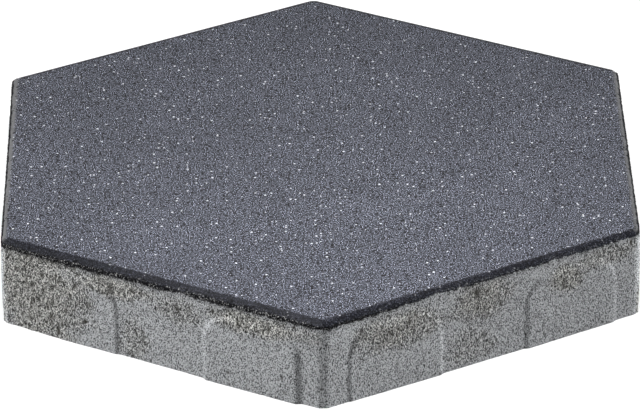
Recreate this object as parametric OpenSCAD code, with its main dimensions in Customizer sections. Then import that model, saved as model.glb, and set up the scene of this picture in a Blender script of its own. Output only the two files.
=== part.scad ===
// Hexagonal stepping stone: one pressed concrete slab of two mixes.
// A thin dark face layer is bonded to a light grey backing that carries the spacer pads.
// Millimetres, +Z up, origin in the middle of the underside, two corners on the Y axis.

/* [Slab] */
// Length of one side of the hexagon, measured to the unchamfered corners
side_l = 200; // [170:1:300]
// Thickness from the underside to the walking face
slab_t = 51; // [40:1:80]
// Width of the flat chamfer down each upright corner
corner_w = 4.5; // [2:0.5:10]

/* [Face layer] */
// Thickness of the dark face layer
face_t = 3.5; // [2:0.5:12]
// How far in from the sides the arris around the walking face reaches
arris_w = 4.8; // [3:0.2:8]
// How far down the sides the arris reaches
arris_h = 2.1; // [1:0.1:3]

/* [Spacer pads] */
// Width of a pad at its foot
pad_w = 61; // [46:1:66]
// How far the pads stand out from the side
pad_proud = 1; // [0.5:0.25:3]
// Distance from the slab's corner to the near edge of a pad
pad_margin = 14; // [8:0.5:20]
// Distance from the face layer down to the top of a pad
pad_gap = 5; // [4.5:0.5:12]
// Radius of a pad's two top corners, at its foot
pad_corner_r = 17; // [6:0.5:20]
// Width of the sloping edge around a pad
pad_slope_w = 3.5; // [1:0.25:5]

/* [Hidden] */

sides = 6;
turn = 360 / sides;
$fn = 96;

// Distance from the middle to a side, and to a corner's chamfer
side_dist = side_l * cos(turn / 2);
corner_dist = side_l - corner_w / 2 * tan(turn / 2);

// Height of the joint between the two mixes
joint_z = slab_t - face_t;

// Radius of the arris, which meets the walking face without an edge
arris_r = (arris_w * arris_w + arris_h * arris_h) / (2 * arris_h);

// Pads, from the slab's own sizes
pad_h = joint_z - pad_gap;
pad_centre = side_l / 2 - pad_margin - pad_w / 2;
pad_root = 2;

// Room that the cutting solids take past the slab
spare = 1;

// The slab's outline: a hexagon whose corners are cut off square
module outline() {
    intersection() {
        circle(r = side_l, $fn = sides);
        rotate(turn / 2)
            circle(r = corner_dist / cos(turn / 2), $fn = sides);
    }
}

// What the rounded arris takes off along one edge at this distance from the middle
module arris_cut(distance) {
    translate([distance - arris_w, side_l, slab_t])
        rotate([90, 0, 0])
            difference() {
                translate([0, -arris_h, 0])
                    cube([arris_w + spare, arris_h + spare, 2 * side_l]);
                translate([0, -arris_r, -spare])
                    cylinder(r = arris_r, h = 2 * (side_l + spare));
            }
}

// The whole slab without its pads
module slab_form() {
    difference() {
        linear_extrude(slab_t)
            rotate(turn / 2)
                outline();
        for (i = [0 : sides - 1]) {
            rotate(i * turn)
                arris_cut(side_dist);
            rotate((i + 0.5) * turn)
                arris_cut(corner_dist);
        }
    }
}

// A band of the slab between two heights
module slab_band(low, high) {
    intersection() {
        slab_form();
        translate([-side_l - spare, -side_l - spare, low])
            cube([2 * (side_l + spare), 2 * (side_l + spare), high - low]);
    }
}

// Round top corner of a pad, lying against the side
module pad_corner() {
    rotate([0, 90, 0]) {
        cylinder(r1 = pad_corner_r, r2 = pad_corner_r - pad_slope_w, h = pad_proud);
        translate([0, 0, -pad_root])
            cylinder(r = pad_corner_r, h = pad_root);
    }
}

// One spacer pad on the side that faces +X, with its foot in the slab
module pad() {
    corner_y = pad_w / 2 - pad_corner_r;
    corner_z = pad_h - pad_corner_r;

    // Body up to the round corners
    linear_extrude(corner_z)
        polygon([
            [-pad_root, -pad_w / 2],
            [0, -pad_w / 2],
            [pad_proud, pad_slope_w - pad_w / 2],
            [pad_proud, pad_w / 2 - pad_slope_w],
            [0, pad_w / 2],
            [-pad_root, pad_w / 2]
        ]);

    // Middle, up to the sloping top
    translate([0, corner_y, 0])
        rotate([90, 0, 0])
            linear_extrude(2 * corner_y)
                polygon([
                    [-pad_root, 0],
                    [pad_proud, 0],
                    [pad_proud, pad_h - pad_slope_w],
                    [0, pad_h],
                    [-pad_root, pad_h]
                ]);

    for (y = [-corner_y, corner_y])
        translate([0, y, corner_z])
            pad_corner();
}

// Light grey backing concrete with two pads on every side
module backing_slab() {
    color("#878884") {
        slab_band(0, joint_z);
        for (i = [0 : sides - 1], y = [-pad_centre, pad_centre])
            rotate(i * turn)
                translate([side_dist, y, 0])
                    pad();
    }
}

// Dark face mix with the rounded arris
module face_layer() {
    color("#4c4d55")
        slab_band(joint_z, slab_t);
}

backing_slab();
face_layer();
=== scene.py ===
import math

import bpy
import bmesh
from mathutils import Matrix, Vector, noise


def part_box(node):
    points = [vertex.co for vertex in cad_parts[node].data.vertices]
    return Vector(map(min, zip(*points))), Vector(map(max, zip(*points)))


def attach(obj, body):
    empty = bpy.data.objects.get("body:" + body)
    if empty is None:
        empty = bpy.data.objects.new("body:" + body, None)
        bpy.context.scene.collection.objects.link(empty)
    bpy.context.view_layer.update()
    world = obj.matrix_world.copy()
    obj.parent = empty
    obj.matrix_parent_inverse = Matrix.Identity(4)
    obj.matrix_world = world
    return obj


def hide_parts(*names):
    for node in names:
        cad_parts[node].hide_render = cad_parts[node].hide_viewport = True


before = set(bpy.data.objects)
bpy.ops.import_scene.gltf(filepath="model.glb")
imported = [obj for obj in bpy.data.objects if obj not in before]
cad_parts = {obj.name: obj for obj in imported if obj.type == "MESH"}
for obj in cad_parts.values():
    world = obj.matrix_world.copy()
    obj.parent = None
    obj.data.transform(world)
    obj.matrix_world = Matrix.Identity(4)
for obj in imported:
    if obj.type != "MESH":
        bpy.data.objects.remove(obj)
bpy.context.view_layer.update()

mm = 0.001
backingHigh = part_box("backing_slab")[1]
faceLow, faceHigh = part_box("face_layer")

# The slab's form, in mm. What the solids' boxes show is read from them, the rest is what they were
# drawn with. Side 0 faces +X and the others follow anticlockwise as seen from above, so 4 and 5 are
# at the front. Distances along a side and its two pads, 0 and 1, go the same way round.
slab = {
    "thickness": faceHigh.z / mm,
    "joint": faceLow.z / mm,
    "cornerDist": backingHigh.y / mm,  # middle to the flat on a corner
    "padReach": backingHigh.x / mm,  # middle to the outside of a pad
    "padProud": 1.0,
    "padWear": {(4, 1): 1.7, (5, 1): 1.1},  # by side and pad, how much more these stand out
    "padEdgeShading": {(4, 0): 1.0, (4, 1): 0.2, (5, 0): 1.0},  # how much of the painted highlight and shade on the edges these show
    "padPlain": 0.7,  # and how much the other pads show
    "padUpright": 0.6,  # the part of it that a pad's upright edges show
    "padShift": {(4, 1): 1.3},  # how much further these are from the middle of the side
    "padWidth": 61.0,
    "padCentre": 55.5,  # from the middle of the side
    "padBelow": 5.0,  # the joint down to the top of a pad
    "padCorner": 17.0,
    "padSlope": 3.5,
    "arrisInset": 4.9,  # where the top starts to fall away
    "arrisRadius": 6.5,
    "edgeRadius": 0.6,  # between the arris and the side
    "cornerSoft": 0.10,  # how much the edges of a corner's flat are worn round
    "flatWidth": 3.0,  # how far from a side's end the painted highlight on a corner's flat reaches
    "columns": 240,  # points along one side
}
slab["sideDist"] = slab["padReach"] - slab["padProud"]
slab["padTop"] = slab["joint"] - slab["padBelow"]


def arrisSizes():
    # lengths of the arris's profile, measured up the skin from the bottom edge
    radius, edge = slab["arrisRadius"], slab["edgeRadius"]
    tilt = math.asin((slab["arrisInset"] - edge) / (radius - edge))
    slab["arrisTilt"] = tilt
    slab["lipTop"] = slab["thickness"] - radius * (1 - math.cos(tilt))
    slab["wall"] = slab["lipTop"] - edge * math.cos(tilt)  # height at which the side ends
    slab["lip"] = slab["wall"] + edge * (math.pi / 2 - tilt)  # climb at which the arris starts
    slab["girth"] = slab["lip"] + radius * tilt


arrisSizes()
sixth = math.pi / 3  # angle from one side to the next
slab["sideLength"] = 2 * slab["sideDist"] * math.tan(sixth / 2)


def ease(low, high, value):
    t = min(1.0, max(0.0, (value - low) / (high - low)))
    return t * t * (3 - 2 * t)


def blend(a, b, t):
    return a + (b - a) * t


def ripple(point, size, seed=0.0):
    # smooth noise from about -1 to 1 with bumps of this size
    return noise.noise(Vector((point[0] / size + seed, point[1] / size - seed, point[2] / size)))


def hollow(point, size, start, seed=0.0):
    # 0 over most of the surface, up to 1 in scattered pits
    return max(0.0, ripple(point, size, seed) - start) / (1 - start)


# by turns towards a corner and the middle of a side
headings = [Vector((math.cos(i * sixth / 2), math.sin(i * sixth / 2))) for i in range(-1, 12)]


def ringPoint(index, perSide, inset):
    # point on the outline set in by this much, with the way it faces
    side, step = divmod(index % (6 * perSide), perSide)
    reach = slab["sideDist"] - inset
    across = (2 * step / perSide - 1) * reach * math.tan(sixth / 2)
    outward = headings[2 * side + 1]
    corner = headings[2 * side + (2 if across > 0 else 0)]
    point = outward * reach + outward.orthogonal() * across
    over = point.dot(corner) - (slab["cornerDist"] - inset)
    soft = math.hypot(over, slab["cornerSoft"])
    point -= corner * (over + soft) / 2
    outward = (outward * (1 - over / soft) + corner * (1 + over / soft)).normalized()
    return point, outward


def profile(climb):
    # inset, height and tilt of the skin's normal this far up from the bottom edge
    if climb <= slab["wall"]:
        return 0.0, climb, math.pi / 2
    if climb > slab["girth"]:
        return slab["arrisInset"] + climb - slab["girth"], slab["thickness"], 0.0
    if climb <= slab["lip"]:
        edge = slab["edgeRadius"]
        tilt = math.pi / 2 - (climb - slab["wall"]) / edge
        return edge * (1 - math.sin(tilt)), slab["wall"] + edge * math.cos(tilt), tilt
    tilt = slab["arrisTilt"] - (climb - slab["lip"]) / slab["arrisRadius"]
    drop = slab["arrisRadius"] * (1 - math.cos(tilt))
    return slab["arrisInset"] - slab["arrisRadius"] * math.sin(tilt), slab["thickness"] - drop, tilt


def skinPoint(index, perSide, climb, lift=0.0):
    # point this far up the skin, lifted off it
    inset, height, tilt = profile(climb)
    point, outward = ringPoint(index, perSide, inset)
    point = point + outward * lift * math.sin(tilt)
    return Vector((point.x, point.y, height + lift * math.cos(tilt)))


# The grey sides, in mm
sides = {
    "patches": [  # rough and brownish: which side, distance along it, height, half sizes, strength
        (4, 22, 26, 34, 34, 1.0),
        (4, 70, 41, 26, 7, 0.95),
        (4, 84, 12, 10, 14, 0.5),
        (4, 112, 37, 16, 9, 0.5),
        (4, 160, 41, 32, 6, 1.0),
        (4, 192, 42, 10, 5, 0.4),
        (5, 46, 35, 28, 11, 0.9),
        (5, 98, 38, 20, 12, 0.9),
        (5, 92, 12, 16, 12, 0.4),
        (5, 151, 36, 11, 9, 1.0),
        (5, 176, 42, 26, 6, 0.6),
    ],
    "patchFade": (1.25, 0.45),  # from outside a patch to its full strength
    "patchWave": (9.0, 0.35),
    "otherPatches": (34.0, 0.7),  # size and strength of those on the sides that have none above
    "otherFade": (0.05, 0.4),
    "bends": {  # by side, how far out it stands at these distances along it
        0: ((0, -0.2), (12, 0.1), (60, 0.0), (200, 0.1)),
        3: ((0, 0.7), (30, 0.5), (60, 0.1), (150, -0.15), (190, -0.4), (200, -0.4)),
        4: ((0, -0.5), (8, -0.8), (13, -0.5), (19, -1.0), (30, -0.6), (42, -0.1), (60, -0.15),
            (84, 0.3), (112, 0.6), (124, 1.0), (134, 0.8), (184, 0.8), (192, 0.4), (200, 0.3)),
        5: ((0, 0.2), (12, 0.2), (20, -0.3), (40, 0.05), (60, 0.2), (120, 0.15), (172, -0.5),
            (188, -0.85), (197, -0.9), (200, -0.4)),
    },
    "drawn": 0.45,  # heights count this much, so marks run up the side as the mould left them
    "bow": (28.0, 0.12),  # size and height of what the relief is made of
    "ripples": (3.0, 0.05),
    "bumps": (1.8, 0.03, 0.14),  # their height where it is smooth and where it is open
    "pits": ((1.5, 1.0, 0.50, 0.12, 5.0), (2.6, 0.8, 0.60, 0.2, 9.0)),  # size, strength, two starts, seed
    "pitDepth": 0.9,
    "bottomWear": 0.35,
    "wearWave": (6.0, 0.5),
    "litEdgeSides": (5, 0, 1),  # sides on which the pads' edges facing the side's end get painted highlight and those facing its start painted shade; the other sides the other way round
    # the most painted highlight a pad's edge gets
    "highlightMost": 0.6,
    "rows": 52,
    "lowRows": (0.0, 0.15, 0.4, 0.8),
}

# The underside, in mm. Rings of ever fewer points close it.
underside = {
    "inset": 1.0,
    "ringStep": 2.0,
    "coarsest": 60,  # points along a side from which on the triangles stay one size
    "bumps": (2.2, 0.25),
}

# Where the two mixes meet, in mm
joint = {
    "level": 47.0,  # height above the underside at which the dark mix ends
    "levels": {  # and by side, at these distances along it
        3: ((0, 47.0), (180, 46.4), (200, 46.4)),
        4: ((0, 46.4), (90, 46.6), (120, 47.6), (200, 47.6)),
        5: ((0, 47.6), (32, 47.4), (60, 49.0), (200, 49.1)),
        0: ((0, 49.1), (60, 47.0), (200, 47.0)),
    },
    "waves": ((26.0, 0.5), (7.0, 0.8), (2.4, 0.8)),
    "recess": 0.12,
    "recessBelow": 1.2,  # how far down and up the sides draw in towards it
    "recessAbove": 0.9,
    "ringStep": 3.0,
    "coarsest": 15,
}

# The dark rim and the top, in mm. A row of six has a value for each side.
top = {
    # where the arris's dark colour gives way to the top's, by side: its dark skin, with painted shade
    # reaching further in on the sides that do not face a side lamp
    "smoothTo": ((1.8, 4.4), (3.3, 6.5), (3.3, 6.5), (1.8, 4.4), (3.3, 6.5), (3.3, 6.5)),
    "polish": (1.2, 0.0, 0.0, 1.7, 0.2, 0.0),  # how glossy the smooth skin of the arris is
    "polishTo": (4.2, 1.9),
    "raggedTo": (1.4, 0.2, 0.2, 1.4, 0.1, 0.0),  # how far up it is torn
    "raggedFade": 0.45,
    "raggedWave": (5.0, 0.7),
    "crumbs": (0.15, 0.3, 0.3, 0.15, 1.6, 0.5),  # how many pale ones stick there
    "crumbsTo": (3.2, 1.2),
    "crumbWave": (9.0, 2.0),
    "crumbShare": (0.5, 0.6),  # near the joint and where it is torn
    "bow": (20.0, 0.05),  # size and height of what the relief is made of
    "ripples": (2.0, 0.02),
    "bumps": (1.4, 0.18),
    "pits": (1.7, 0.6, 0.0),  # their size, and from which noise up where it is whole and where it is torn
    "smallPits": (0.9, 0.1),
    "pitDepth": 0.75,
    "wave": (25.0, 0.05),
    "arrisRows": 14,
    "flatRows": (0.6, 1.2, 1.9),  # how far in from the arris they lie
    "ringStep": 1.6,
    "coarsest": 120,
}


def padShape(side, along, up):
    # height of the pads above the side, and the painted highlight and shade on their edge, signed by which
    # way it faces along it
    pad = (side, int(along > 0))
    across = abs(along) - slab["padCentre"] - slab["padShift"].get(pad, 0.0)
    gap = slab["padWidth"] / 2 - abs(across)
    drop = slab["padTop"] - up
    radius = slab["padCorner"]
    upright = slab["padUpright"]
    if gap < radius and drop < radius:
        far = math.hypot(radius - gap, radius - drop)
        inside = radius - far
        edgeShading = min(1.0, 2 * (radius - gap) / far) * blend(upright, 1.0, ease(radius, 0.5 * radius, drop))
    else:
        inside = min(gap, drop)
        edgeShading = upright * (gap < drop)
    slope = slab["padSlope"]
    edgeShading *= slab["padEdgeShading"].get(pad, slab["padPlain"])
    edgeShading *= ease(1, 0.3, abs(2 * inside / slope - 1))  # strongest halfway up the slope
    proud = slab["padProud"] * slab["padWear"].get(pad, 1.0)
    return proud * ease(0, slope, inside), math.copysign(edgeShading, across * along)


def whereAlong(index):
    # which side this column is on, and how far along it
    side, step = divmod(index % (6 * slab["columns"]), slab["columns"])
    return side, step / slab["columns"] * slab["sideLength"]


def trace(spots, along, value):
    # eases from one of these values to the next along a side
    for (start, low), (end, high) in zip(spots, spots[1:]):
        if start <= along:
            value = blend(low, high, ease(start, end, along))
    return value


def bend(side, along):
    # how far the whole side stands out here
    return trace(sides["bends"].get(side, ()), along, 0.0)


def openness(side, along, up, point):
    # how open and brown the concrete is here
    found = 0.0
    if side not in (4, 5):
        size, strength = sides["otherPatches"]
        found = strength * ease(*sides["otherFade"], ripple(point, size, seed=3.7))
    size, wave = sides["patchWave"]
    for where, x, y, width, height, strength in sides["patches"]:
        if where == side:
            away = math.hypot((along - x) / width, (up - y) / height)
            away += wave * ripple(point, size, seed=1.3)
            found = max(found, strength * ease(*sides["patchFade"], away))
    return found


def seamClimb(index):
    # climb at which the dark mix ends, for this column
    side, along = whereAlong(index)
    level = trace(joint["levels"].get(side, ()), along, joint["level"])
    point = ringPoint(index, slab["columns"], 0)[0]
    for size, height in joint["waves"]:
        level += height * ripple((point.x, point.y, 0), size, seed=8.1)
    if level < slab["wall"]:
        return level
    if level < slab["lipTop"]:
        edge = slab["edgeRadius"]
        return slab["wall"] + edge * math.asin((level - slab["wall"]) / edge)
    tilt = math.acos(1 - (slab["thickness"] - level) / slab["arrisRadius"])
    return slab["lip"] + slab["arrisRadius"] * (slab["arrisTilt"] - tilt)


def darkerToEnd(index):
    # 0 to 1 along the side that darkens towards one end, 0 on the others
    side, along = whereAlong(index)
    return along / slab["sideLength"] if side == 5 else 0.0


def backingLift(index, climb):
    # relief of the grey sides, how open and how pitted they are, and the painted highlight and shade on
    # the pads' edges
    side, distance = whereAlong(index)
    point = skinPoint(index, slab["columns"], climb)
    drawn = Vector((point.x, point.y, point.z * sides["drawn"]))
    rough = openness(side, distance, climb, point)
    pit = 0.0
    for size, strength, few, many, seed in sides["pits"]:
        pit = max(pit, strength * hollow(drawn, size, blend(few, many, rough), seed))
    lift, edge = padShape(side, distance - slab["sideLength"] / 2, climb)
    size, height = sides["bow"]
    lift += bend(side, distance) + height * ripple(point, size)
    size, height = sides["ripples"]
    bumpSize, smooth, torn = sides["bumps"]
    bumps = blend(smooth, torn, rough) * ripple(drawn, bumpSize, seed=4.0)
    lift += height * ripple(drawn, size, seed=2.0) + bumps
    lift -= sides["pitDepth"] * pit
    size, height = sides["wearWave"]
    wear = sides["bottomWear"] * (1 + height * ripple(point, size, seed=6.0))
    if climb < wear:
        lift -= wear - math.sqrt(climb * (2 * wear - climb))
    # a pad's edge that faces the nearer side lamp gets painted highlight, the other edge painted shade
    edge = min(edge if side in sides["litEdgeSides"] else -edge, sides["highlightMost"])
    start, end = slab["flatWidth"], slab["sideLength"] - slab["flatWidth"]
    if (side in (4, 0) and distance < start) or (side in (3, 5) and distance > end):
        edge = 1.0  # the flats of the corners at these ends face the side lamps and get painted highlight too
    return lift, rough, pit, edge


def faceLift(index, climb):
    # relief of the dark rim, with how ragged and how pitted it is there
    point = skinPoint(index, slab["columns"], climb)
    torn = top["raggedTo"][whereAlong(index)[0]]
    size, height = top["raggedWave"]
    fade = top["raggedFade"]
    ragged = ease(fade, -fade, climb - slab["lip"] - torn + height * ripple(point, size, seed=2.0))
    size, few, many = top["pits"]
    smallSize, smallStart = top["smallPits"]
    pit = max(hollow(point, size, blend(few, many, ragged), seed=7.0),
              ragged * hollow(point, smallSize, smallStart, seed=4.0))
    size, height = top["bow"]
    rippleSize, rippleHeight = top["ripples"]
    lift = height * ripple(point, size) + rippleHeight * ripple(point, rippleSize) * (1 - ragged)
    lift += bend(*whereAlong(index)) * ease(0, slab["arrisTilt"], profile(climb)[2])
    size, height = top["bumps"]
    lift += ragged * (height * ripple(point, size, seed=1.0) - top["pitDepth"] * pit)
    return lift, ragged, pit


class Skin:
    # gathers points, faces and painted values, then makes one closed mesh of them
    def __init__(self, *labels):
        self.points = []
        self.faces = []
        self.values = {label: [] for label in labels}

    def point(self, place, *values):
        # keeps a point given in mm with its painted values, which are 0 where none are given
        self.points.append(Vector(place) * mm)
        for i, kept in enumerate(self.values.values()):
            kept.append(values[i] if i < len(values) else 0.0)
        return len(self.points) - 1

    def band(self, low, high):
        # quads between two rings of as many points
        for i in range(len(low)):
            j = (i + 1) % len(low)
            self.faces.append((low[i], low[j], high[j], high[i]))

    def halve(self, ring, inner):
        # triangles from a ring to one with half as many points
        for i in range(len(inner)):
            j = (i + 1) % len(inner)
            a, b, c = ring[2 * i], ring[2 * i + 1], ring[(2 * i + 2) % len(ring)]
            self.faces += [(a, b, inner[i]), (b, inner[j], inner[i]), (b, c, inner[j])]

    def lattice(self, ring, perSide, place):
        # fills a ring with triangles of one size, one smaller ring inside another
        for count in range(perSide - 1, 0, -1):
            inner = [place(i, count, perSide) for i in range(6 * count)]
            outer = count + 1
            for side in range(6):
                for step in range(outer):
                    a = side * outer + step
                    b = (a + 1) % (6 * outer)
                    c = (side * count + step) % (6 * count)
                    self.faces.append((ring[a], ring[b], inner[c]))
                    if step < count:
                        self.faces.append((ring[b], inner[(c + 1) % (6 * count)], inner[c]))
            ring = inner
        middle = place(0, 0, perSide)
        for i in range(6):
            self.faces.append((ring[i], ring[(i + 1) % 6], middle))

    def close(self, ring, coarsest, inset, step, height):
        # closes a ring with a level surface, in ever fewer points as it goes in
        count = len(ring) // 6
        while count > coarsest:
            count //= 2
            inset += step
            inner = []
            for i in range(6 * count):
                point = ringPoint(i, count, inset)[0]
                inner.append(self.point((point.x, point.y, height(point))))
            self.halve(ring, inner)
            ring = inner

        def place(i, ringCount, perSide):
            reach = (slab["sideDist"] - inset) * ringCount / perSide
            point = ringPoint(i, max(ringCount, 1), slab["sideDist"] - reach)[0]
            return self.point((point.x, point.y, height(point)))

        self.lattice(ring, count, place)

    def build(self, name, finish):
        mesh = bpy.data.meshes.new(name)
        mesh.from_pydata(self.points, [], self.faces)
        for label, kept in self.values.items():
            mesh.attributes.new(label, "FLOAT", "POINT").data.foreach_set("value", kept)
        shape = bmesh.new()
        shape.from_mesh(mesh)
        bmesh.ops.recalc_face_normals(shape, faces=shape.faces)
        loose = sum(1 for edge in shape.edges if not edge.is_manifold)
        triangles = sum(len(face.verts) - 2 for face in shape.faces)
        for face in shape.faces:
            face.smooth = True
        shape.to_mesh(mesh)
        shape.free()
        mesh.materials.append(finish)
        piece = bpy.data.objects.new(name, mesh)
        bpy.context.collection.objects.link(piece)
        print(name, "has", triangles, "triangles and", loose, "open edges")
        return piece


columns = range(6 * slab["columns"])
seamClimbs = [seamClimb(i) for i in columns]
seamPoints = []
for i in columns:
    seamLift = faceLift(i, seamClimbs[i])[0] - joint["recess"]
    seamPoints.append(skinPoint(i, slab["columns"], seamClimbs[i], seamLift))
print("the seam between the mixes is laid out")


def jointLevel(point):
    return slab["joint"]


def bottomLevel(point):
    size, height = underside["bumps"]
    return height * abs(ripple((point.x, point.y, 0), size))


def topLevel(point):
    size, height = top["wave"]
    return slab["thickness"] + height * ripple((point.x, point.y, 0), size)


def buildBacking(finish):
    skin = Skin("open", "pit", "below", "darkerToEnd", "edge")
    ring = None
    first = sides["lowRows"]
    total = len(first) + sides["rows"]
    for row in range(total):
        above = []
        for i in columns:
            seam = seamClimbs[i]
            if row < len(first):
                climb = first[row]
            else:
                climb = blend(first[-1], seam, (row - len(first) + 1) / sides["rows"])
            lift, rough, pit, edge = backingLift(i, climb)
            sunk = bend(*whereAlong(i)) - 0.5 * joint["recess"]
            lift = blend(lift, min(lift, sunk), ease(joint["recessBelow"], 0.0, seam - climb))
            place = skinPoint(i, slab["columns"], climb, lift)
            if row == total - 1:
                place = seamPoints[i]
            above.append(skin.point(place, rough, pit, seam - climb, darkerToEnd(i), edge))
        if ring:
            skin.band(ring, above)
        else:
            bottom = above
        ring = above
    skin.close(ring, joint["coarsest"], slab["arrisInset"], joint["ringStep"], jointLevel)
    skin.close(bottom, underside["coarsest"], underside["inset"], underside["ringStep"], bottomLevel)
    return skin.build("backing_slab_cast", finish)


def buildFace(finish):
    skin = Skin("arris", "ragged", "pit", "crumbs", "polish")
    ring = None
    for row in range(top["arrisRows"] + 1 + len(top["flatRows"])):
        above = []
        for i in columns:
            climb = blend(seamClimbs[i], slab["girth"], min(1.0, row / top["arrisRows"]))
            if row > top["arrisRows"]:
                climb += top["flatRows"][row - top["arrisRows"] - 1]
            lift, ragged, pit = faceLift(i, climb)
            lift -= joint["recess"] * ease(joint["recessAbove"], 0.0, climb - seamClimbs[i])
            place = skinPoint(i, slab["columns"], climb, lift) if row else seamPoints[i]
            inset = profile(climb)[0]
            side = whereAlong(i)[0]
            smooth, plain = top["smoothTo"][side]
            # the arris's dark colour: its own dark skin, partly painted shade
            arris = ease(plain, smooth, inset)
            polish = top["polish"][side] * ease(*top["polishTo"], inset)
            size, height = top["crumbWave"]
            wave = height * abs(ripple(place, size, seed=5.0))
            near, torn = top["crumbShare"]
            crumbs = near * ease(*top["crumbsTo"], climb - seamClimbs[i] + wave) + torn * ragged
            crumbs *= top["crumbs"][side]
            above.append(skin.point(place, arris, ragged, pit, crumbs, polish))
        if ring:
            skin.band(ring, above)
        else:
            rim = above
        ring = above
    flat = slab["arrisInset"] + top["flatRows"][-1]
    skin.close(ring, top["coarsest"], flat, top["ringStep"], topLevel)
    skin.close(rim, joint["coarsest"], slab["arrisInset"], joint["ringStep"], jointLevel)
    return skin.build("face_layer_cast", finish)


class Value:
    # a socket that can be used in plain arithmetic
    def __init__(self, shader, socket):
        self.shader = shader
        self.socket = socket

    def math(self, operation, *others):
        return self.shader.math(operation, self, *others)

    def __add__(self, other):
        return self.math("ADD", other)

    def __sub__(self, other):
        return self.math("SUBTRACT", other)

    def __mul__(self, other):
        return self.math("MULTIPLY", other)

    def __truediv__(self, other):
        return self.math("DIVIDE", other)

    def __pow__(self, other):
        return self.math("POWER", other)

    def __rsub__(self, other):
        return self.shader.math("SUBTRACT", other, self)

    def __rtruediv__(self, other):
        return self.shader.math("DIVIDE", other, self)

    def __rpow__(self, other):
        return self.shader.math("POWER", other, self)

    __radd__ = __add__
    __rmul__ = __mul__

    def between(self, low, high):
        # low where the value is 0, high where it is 1
        return low + (high - low) * self

    def ramp(self, low, high, start=0.0, end=1.0):
        # eases from start to end as the value goes from low to high
        inputs = {0: self, 1: low, 2: high, 3: start, 4: end}
        return self.shader.add("ShaderNodeMapRange", {"interpolation_type": "SMOOTHSTEP"}, inputs)


class Shader:
    # the nodes of a material or of the world
    def __init__(self, owner):
        owner.use_nodes = True
        self.owner = owner
        self.tree = owner.node_tree
        self.tree.nodes.clear()

    def add(self, kind, settings, inputs, out=0):
        # a node with its settings, then the values or links of its sockets; gives the outputs named
        node = self.tree.nodes.new(kind)
        for name, setting in settings.items():
            setattr(node, name, setting)
        for name, value in inputs.items():
            if isinstance(value, Value):
                self.tree.links.new(value.socket, node.inputs[name])
            else:
                node.inputs[name].default_value = value
        if isinstance(out, tuple):
            return [Value(self, node.outputs[name]) for name in out]
        return Value(self, node.outputs[out]) if node.outputs else None

    def math(self, operation, *values):
        return self.add("ShaderNodeMath", {"operation": operation}, dict(enumerate(values)))

    def scale(self, vector, factor):
        return self.add("ShaderNodeVectorMath", {"operation": "SCALE"}, {0: vector, 3: factor})

    def shift(self, vector, offset):
        return self.add("ShaderNodeVectorMath", {"operation": "ADD"}, {0: vector, 1: offset})

    def mix(self, factor, a, b):
        return self.add("ShaderNodeMix", {"data_type": "RGBA"}, {0: factor, 6: a, 7: b}, 2)

    def painted(self, label):
        return self.add("ShaderNodeAttribute", {"attribute_name": label}, {}, "Fac")

    def millimetres(self, squash=1.0):
        # place on the object in mm, with the height shrunk so that marks are drawn out upwards
        place = self.add("ShaderNodeTexCoord", {}, {}, "Object")
        stretch = (1000, 1000, 1000 * squash)
        return self.add("ShaderNodeVectorMath", {"operation": "MULTIPLY"}, {0: place, 1: stretch})

    def cloud(self, place, size, detail=2.0, rough=0.5):
        inputs = {"Vector": place, "Scale": 1 / size, "Detail": detail, "Roughness": rough}
        return self.add("ShaderNodeTexNoise", {}, inputs)

    def grains(self, place, size):
        # distance to the nearest grain's middle, in mm, and three random numbers for that grain
        inputs = {"Vector": place, "Scale": 1 / size}
        away, color = self.add("ShaderNodeTexVoronoi", {}, inputs, ("Distance", "Color"))
        return [away * size] + self.add("ShaderNodeSeparateColor", {}, {0: color}, (0, 1, 2))

    def dots(self, place, cell, radius, soft):
        # a round spot in every cell, with two random numbers for it
        away, picked, size, other = self.grains(place, cell)
        return (size.between(*radius) - away).ramp(0, soft), picked, other

    def ridges(self, place, size):
        # above 0 in the middle of the lumps and below it along the lines between them
        middle = 0.55  # about how far from a lump's middle a place is, in sizes
        return middle - self.grains(place, size)[0] / size

    def salt(self, place, mix):
        # a few strong sand grains on an even ground, about 1 on the whole
        sand = self.cloud(self.shift(place, (7, 3, 11)), mix["sandSize"], 0.0) - 0.5
        return (1 + sand * mix["sand"]).math("MAXIMUM", 0.0) ** 2 / mix["sandMean"]

    def bump(self, height):
        # the normal that a height in mm gives
        return self.add("ShaderNodeBump", {}, {"Height": height * mm, "Strength": 1.0, "Distance": 1.0})

    def finish(self, surface, output="ShaderNodeOutputMaterial"):
        self.add(output, {}, {"Surface": surface})
        return self.owner


def tint(red, green, blue):
    return (red, green, blue, 1.0)


def grey(level):
    return tint(level, level, level)


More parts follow.
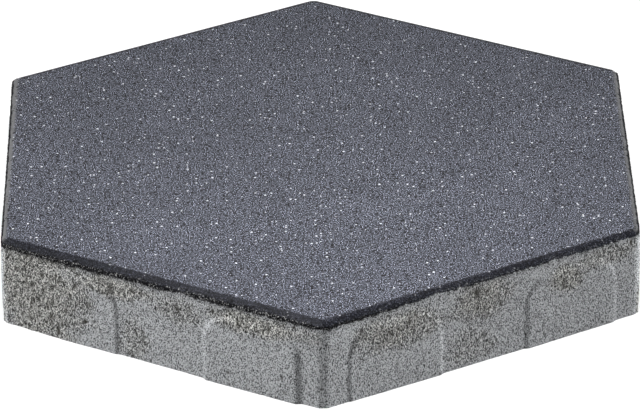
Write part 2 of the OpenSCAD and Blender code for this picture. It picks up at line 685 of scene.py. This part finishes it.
# The dark mix of the face. Sizes, radii and heights are in mm, shares are from 0 to 1.
facing = {
    "paste": tint(0.0535, 0.0562, 0.0688),
    "arris": tint(0.0104, 0.0109, 0.0142),  # its dark smooth skin, and painted shade where the rim faces away from the lamps
    "ragged": tint(0.008, 0.008, 0.009),  # where the rim is torn
    # painted shade in the pores and pits
    "pore": tint(0.008, 0.008, 0.009),
    "crumb": grey(0.42),
    "speck": tint(0.85, 0.86, 0.90),
    "arrisWave": 0.5,
    "arrisFrom": (0.15, 0.85),
    "grainSize": 0.6,
    "spread": 0.4,
    "spreadLost": 0.3,  # how much less of it the arris shows
    "fineSize": 0.6,
    "driftSize": 60.0,
    "drift": 0.35,
    "ridgeSize": 0.95,
    "ridge": 0.4,
    "sandSize": 0.62,
    "sand": 10.4,
    "sandMean": 1.79,
    "sandLost": 0.4,
    "darkest": 0.03,
    "flakeSize": 0.9,
    "flakeFrom": (0.58, 0.63),
    "speckCell": 2.7,
    "speckShare": 0.36,
    "speckRadius": (0.32, 0.71),
    "speckGlow": (0.12, 1.0),  # most are nearer the first
    "specksLost": 0.6,
    "poreCell": 2.3,
    "poreShare": 0.75,
    "poreRadius": (0.38, 0.95),
    "shine": 0.06,
    "roughness": 0.55,
    "roughSpread": 0.25,
    "roughSpeck": -0.15,
    "roughRagged": 0.25,
    "grainHeight": (0.12, 0.24),  # where it is whole and where it is torn
    "fineHeight": 0.25,
    "poreDepth": 0.25,
    "filmThin": 0.5,
    "filmRoughness": 0.3,
    "filmIor": 1.8,
}


def faceConcrete():
    look = Shader(bpy.data.materials.new("dark face concrete"))
    place = look.millimetres()
    ragged = look.painted("ragged")
    grain, grainLift = look.grains(place, facing["grainSize"])[1:3]
    fine = look.cloud(place, facing["fineSize"], 2.0, 0.7)
    drift = look.cloud(place, facing["driftSize"], 3.0)
    arris = look.painted("arris") + (fine + grainLift - 1) * facing["arrisWave"]
    arris = arris.ramp(*facing["arrisFrom"])

    tone = 1 + (grain - 0.5) * facing["spread"] * (1 - facing["spreadLost"] * arris)
    tone = tone + (drift - 0.5) * facing["drift"]
    tone = tone + look.ridges(look.shift(place, (15, 35, 60)), facing["ridgeSize"]) * facing["ridge"]
    tone = tone * (1 + (look.salt(place, facing) - 1) * (1 - facing["sandLost"] * arris))
    tone = tone.math("MAXIMUM", facing["darkest"])
    # the arris's dark skin, partly painted shade
    stone = look.mix(arris, facing["paste"], facing["arris"])
    stone = look.mix(ragged, stone, facing["ragged"])
    stone = look.scale(stone, tone)
    flake = look.cloud(place, facing["flakeSize"], 2.0, 0.7).ramp(*facing["flakeFrom"])
    stone = look.mix(look.painted("crumbs") * flake, stone, facing["crumb"])

    spot, picked, glow = look.dots(place, facing["speckCell"], facing["speckRadius"], 0.1)
    speck = picked.math("LESS_THAN", facing["speckShare"]) * spot
    speck = speck * (glow ** 3).between(*facing["speckGlow"]) * (1 - ragged)
    stone = look.mix(speck * (1 - facing["specksLost"] * arris), stone, facing["speck"])
    elsewhere = look.shift(place, (40, 70, 10))
    spot, picked = look.dots(elsewhere, facing["poreCell"], facing["poreRadius"], 0.15)[:2]
    pore = picked.math("LESS_THAN", facing["poreShare"]) * spot
    # painted shade in the pores and pits
    stone = look.mix(pore, stone, facing["pore"])
    stone = look.mix(look.painted("pit"), stone, facing["pore"])

    roughness = facing["roughness"] + (grainLift - 0.5) * facing["roughSpread"]
    roughness = roughness + speck * facing["roughSpeck"] + ragged * facing["roughRagged"]
    height = (grainLift - 0.5) * ragged.between(*facing["grainHeight"])
    height = height + (fine - 0.5) * facing["fineHeight"] - pore * facing["poreDepth"]
    film = look.painted("polish") * grainLift.between(facing["filmThin"], 1.0) * (1 - ragged) * (1 - pore)
    return look.finish(look.add("ShaderNodeBsdfPrincipled", {}, {
        "Base Color": stone,
        "Roughness": roughness,
        "Normal": look.bump(height),
        "Specular IOR Level": facing["shine"],
        "Coat Weight": film.math("MINIMUM", 1.0),
        "Coat Roughness": facing["filmRoughness"],
        "Coat IOR": facing["filmIor"],
    }))


# The grey mix of the backing. Where there are two values, they are for smooth and for torn places.
core = {
    "grey": tint(0.313, 0.322, 0.332),
    "open": tint(0.300, 0.301, 0.291),
    "pitShade": tint(0.035, 0.033, 0.027),  # painted shade in the pits and holes
    "tan": tint(0.33, 0.325, 0.295),
    "tanFrom": (0.8, 0.9),  # of the grains, those above this are tan
    "tanShare": 0.4,
    "squash": 0.46,  # how much the marks are drawn out upwards
    "brightest": (1.32, 1.70),
    "spread": (0.5, 1.3),
    "darkFew": 2.2,  # the higher, the fewer grains are dark
    "darkest": 0.05,
    "cap": (1.8, 2.65),  # no place is lighter than this
    "grainSize": 0.45,
    "fineSize": 0.5,
    "fine": 0.6,
    "driftSize": 22.0,
    "drift": 0.25,
    "ridgeSize": 0.95,
    "ridge": (0.15, 1.6),
    "sandSize": 0.38,
    "sand": 11.0,
    "sandMean": 1.9,
    "sandShare": (0.74, 1.1),
    "clodSize": 0.58,
    "clod": 20.0,
    "clodMost": 0.02,
    "shadedEdgeTone": 0.48,  # painted shade on the pads' edges that face away from the side lamps
    "litEdgeTone": 1.35,  # painted highlight on the pads' edges that face the side lamps, and on the flats of the left and right corners
    "edgeLost": 0.6,  # how much less of both a torn place shows
    "holeCell": 1.5,
    "holeShare": (0.08, 0.80),
    "holeRadius": (0.20, 0.60),
    "holeDark": (0.55, 1.0),
    "holeDepth": 0.3,
    "pitDark": 1.6,
    # how much darker side 5 grows towards its end
    "darkerToEnd": 0.24,
    "seamTone": 0.60,  # just under the joint
    "seamFrom": (3.0, 0.4),
    "stain": tint(0.020, 0.020, 0.022),  # dark mix smeared down from the joint
    "stainFrom": (0.6, 0.2),
    "stainWave": 3.0,
    "grainHeight": (0.10, 0.20),
    "fineHeight": (0.5, 1.0),
    "roughness": 0.9,
}


def backingConcrete():
    look = Shader(bpy.data.materials.new("grey backing concrete"))
    place = look.millimetres(core["squash"])
    rough = look.painted("open")
    below = look.painted("below")
    grain, warm, lift = look.grains(place, core["grainSize"])[1:]
    fine = look.cloud(place, core["fineSize"], 2.0, 0.7)
    drift = look.cloud(look.millimetres(), core["driftSize"], 3.0)
    clod = look.cloud(look.shift(place, (9, 14, 3)), core["clodSize"], 0.0) - 0.5

    tone = rough.between(*core["brightest"]) - grain ** core["darkFew"] * rough.between(*core["spread"])
    ridges = look.ridges(look.shift(place, (5, 25, 15)), core["ridgeSize"])
    tone = tone + ridges * rough.between(*core["ridge"])
    tone = tone + (fine - 0.5) * core["fine"] * rough + (drift - 0.5) * core["drift"]
    tone = tone + clod.math("MINIMUM", core["clodMost"]) * rough * core["clod"]
    tone = tone * (1 - (look.salt(place, core) - 1) * rough.between(*core["sandShare"]))
    tone = tone.math("MAXIMUM", core["darkest"]).math("MINIMUM", rough.between(*core["cap"]))
    # painted shade and highlight on the pads' edges and the corners' flats, weaker where it is torn
    edge = look.painted("edge") * (1 - core["edgeLost"] * rough)
    tone = tone * edge.ramp(-1.0, 0.0, core["shadedEdgeTone"], 1.0) * edge.ramp(0.0, 1.0, 1.0, core["litEdgeTone"])
    tone = tone * below.ramp(*core["seamFrom"], 1.0, core["seamTone"])
    # darker towards the end of side 5
    tone = tone * (1 - core["darkerToEnd"] * look.painted("darkerToEnd"))
    stone = look.mix(rough, core["grey"], core["open"])
    stone = look.mix(rough * warm.ramp(*core["tanFrom"]) * core["tanShare"], stone, core["tan"])
    stone = look.scale(stone, tone)

    elsewhere = look.shift(place, (30, 10, 50))
    spot, picked = look.dots(elsewhere, core["holeCell"], core["holeRadius"], 0.2)[:2]
    hole = (rough.between(*core["holeShare"]) - picked).ramp(0, 0.02) * spot
    # painted shade in the pits and holes
    dark = look.painted("pit") * core["pitDark"] + hole * rough.between(*core["holeDark"])
    stone = look.mix(dark.math("MINIMUM", 1.0), stone, core["pitShade"])
    stain = (below + (fine - 0.5) * core["stainWave"]).ramp(*core["stainFrom"])
    stone = look.mix(stain, stone, core["stain"])

    height = (lift - 0.5) * rough.between(*core["grainHeight"])
    height = height + (fine - 0.5) * rough.between(*core["fineHeight"]) - hole * core["holeDepth"]
    return look.finish(look.add("ShaderNodeBsdfPrincipled", {}, {
        "Base Color": stone,
        "Roughness": core["roughness"],
        "Normal": look.bump(height),
    }))


faceCast = buildFace(faceConcrete())
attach(faceCast, "root")
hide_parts("face_layer")

backingCast = buildBacking(backingConcrete())
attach(backingCast, "root")
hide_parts("backing_slab")
print("the two castings are in place")


# Studio: a white floor and sky, a soft low light on either side and behind, and one above the front.
# Places and sizes are in metres, the camera's distances in mm and its angles in degrees.
studio = {
    "lights": {  # place, what it points at, width, depth, watts
        "left light": ((-2.2, -0.35, 0.6), (0, 0, 0.03), 1.1, 0.8, 55.5),
        "right light": ((2.2, -0.35, 0.6), (0, 0, 0.03), 1.1, 0.8, 50.5),
        "top light": ((0, -0.18, 0.46), (0, -0.16, 0), 0.35, 0.20, 2.95),
        "back light": ((0, 2.2, 0.35), (0, 0, 0.03), 1.1, 0.4, 34.0),
    },
    "skyLight": 0.12,  # what the sky and the floor give the slab
    "floorLight": 0.16,
    "skySeen": 1.0,  # what is seen of them
    "floorSeen": 0.35,
    "floorGlow": 0.77,
    "floorReach": 6,
    "lens": 307.5,
    "sensor": 36,
    "turn": -0.534,
    "rise": 27.558,
    "roll": -0.534,
    "target": (0.99, 7.32, 14.04),
    "away": 3065.1,
}


def areaLight(name, place, aim, width, depth, watts):
    lamp = bpy.data.lights.new(name, "AREA")
    lamp.shape = "RECTANGLE"
    lamp.size = width
    lamp.size_y = depth
    lamp.energy = watts
    holder = bpy.data.objects.new(name, lamp)
    holder.visible_camera = False
    holder.visible_glossy = False
    holder.location = place
    holder.rotation_euler = (Vector(aim) - Vector(place)).to_track_quat("-Z", "Y").to_euler()
    bpy.context.collection.objects.link(holder)


def seenDirectly(shader):
    # 1 where it is looked at straight, in a mirror or through glass, 0 where it lights something
    rays = ("Is Camera Ray", "Is Glossy Ray", "Is Transmission Ray")
    camera, glossy, through = shader.add("ShaderNodeLightPath", {}, {}, rays)
    return (camera + glossy + through).math("MINIMUM", 1.0)


def whiteFloor():
    look = Shader(bpy.data.materials.new("white floor"))
    seen = seenDirectly(look)
    paint = look.mix(seen, grey(studio["floorLight"]), grey(studio["floorSeen"]))
    glow = look.mix(seen, grey(0), grey(studio["floorGlow"]))
    matte = look.add("ShaderNodeBsdfDiffuse", {}, {"Color": paint})
    light = look.add("ShaderNodeEmission", {}, {"Color": glow})
    return look.finish(look.add("ShaderNodeAddShader", {}, {0: matte, 1: light}))


def whiteSky():
    look = Shader(bpy.data.worlds.new("studio"))
    color = look.mix(seenDirectly(look), grey(studio["skyLight"]), grey(studio["skySeen"]))
    return look.finish(look.add("ShaderNodeBackground", {}, {"Color": color}), "ShaderNodeOutputWorld")


def buildStudio():
    far = studio["floorReach"]
    mesh = bpy.data.meshes.new("floor")
    mesh.from_pydata([(-far, -far, 0), (far, -far, 0), (far, far, 0), (-far, far, 0)], [], [(0, 1, 2, 3)])
    mesh.materials.append(whiteFloor())
    floor = bpy.data.objects.new("floor", mesh)
    bpy.context.collection.objects.link(floor)
    for name, light in studio["lights"].items():
        areaLight(name, *light)
    bpy.context.scene.world = whiteSky()


def aimCamera():
    # looks at the target from this far away, turned round the slab, raised above it and rolled
    turn, rise, roll = (math.radians(studio[name]) for name in ("turn", "rise", "roll"))
    back = Vector((math.sin(turn) * math.cos(rise), -math.cos(turn) * math.cos(rise), math.sin(rise)))
    right = Vector((math.cos(turn), math.sin(turn), 0))
    up = back.cross(right)
    tilted = right * math.cos(roll) + up * math.sin(roll)
    upright = up * math.cos(roll) - right * math.sin(roll)
    camera = bpy.data.objects.new("camera", bpy.data.cameras.new("camera"))
    camera.data.lens = studio["lens"]
    camera.data.sensor_width = studio["sensor"]
    facingCamera = Matrix((tilted, upright, back)).transposed().to_4x4()
    facingCamera.translation = (Vector(studio["target"]) + back * studio["away"]) * mm
    camera.matrix_world = facingCamera
    bpy.context.collection.objects.link(camera)
    bpy.context.scene.camera = camera


buildStudio()
aimCamera()
bpy.context.scene.view_settings.view_transform = "Standard"
print("the studio is lit")
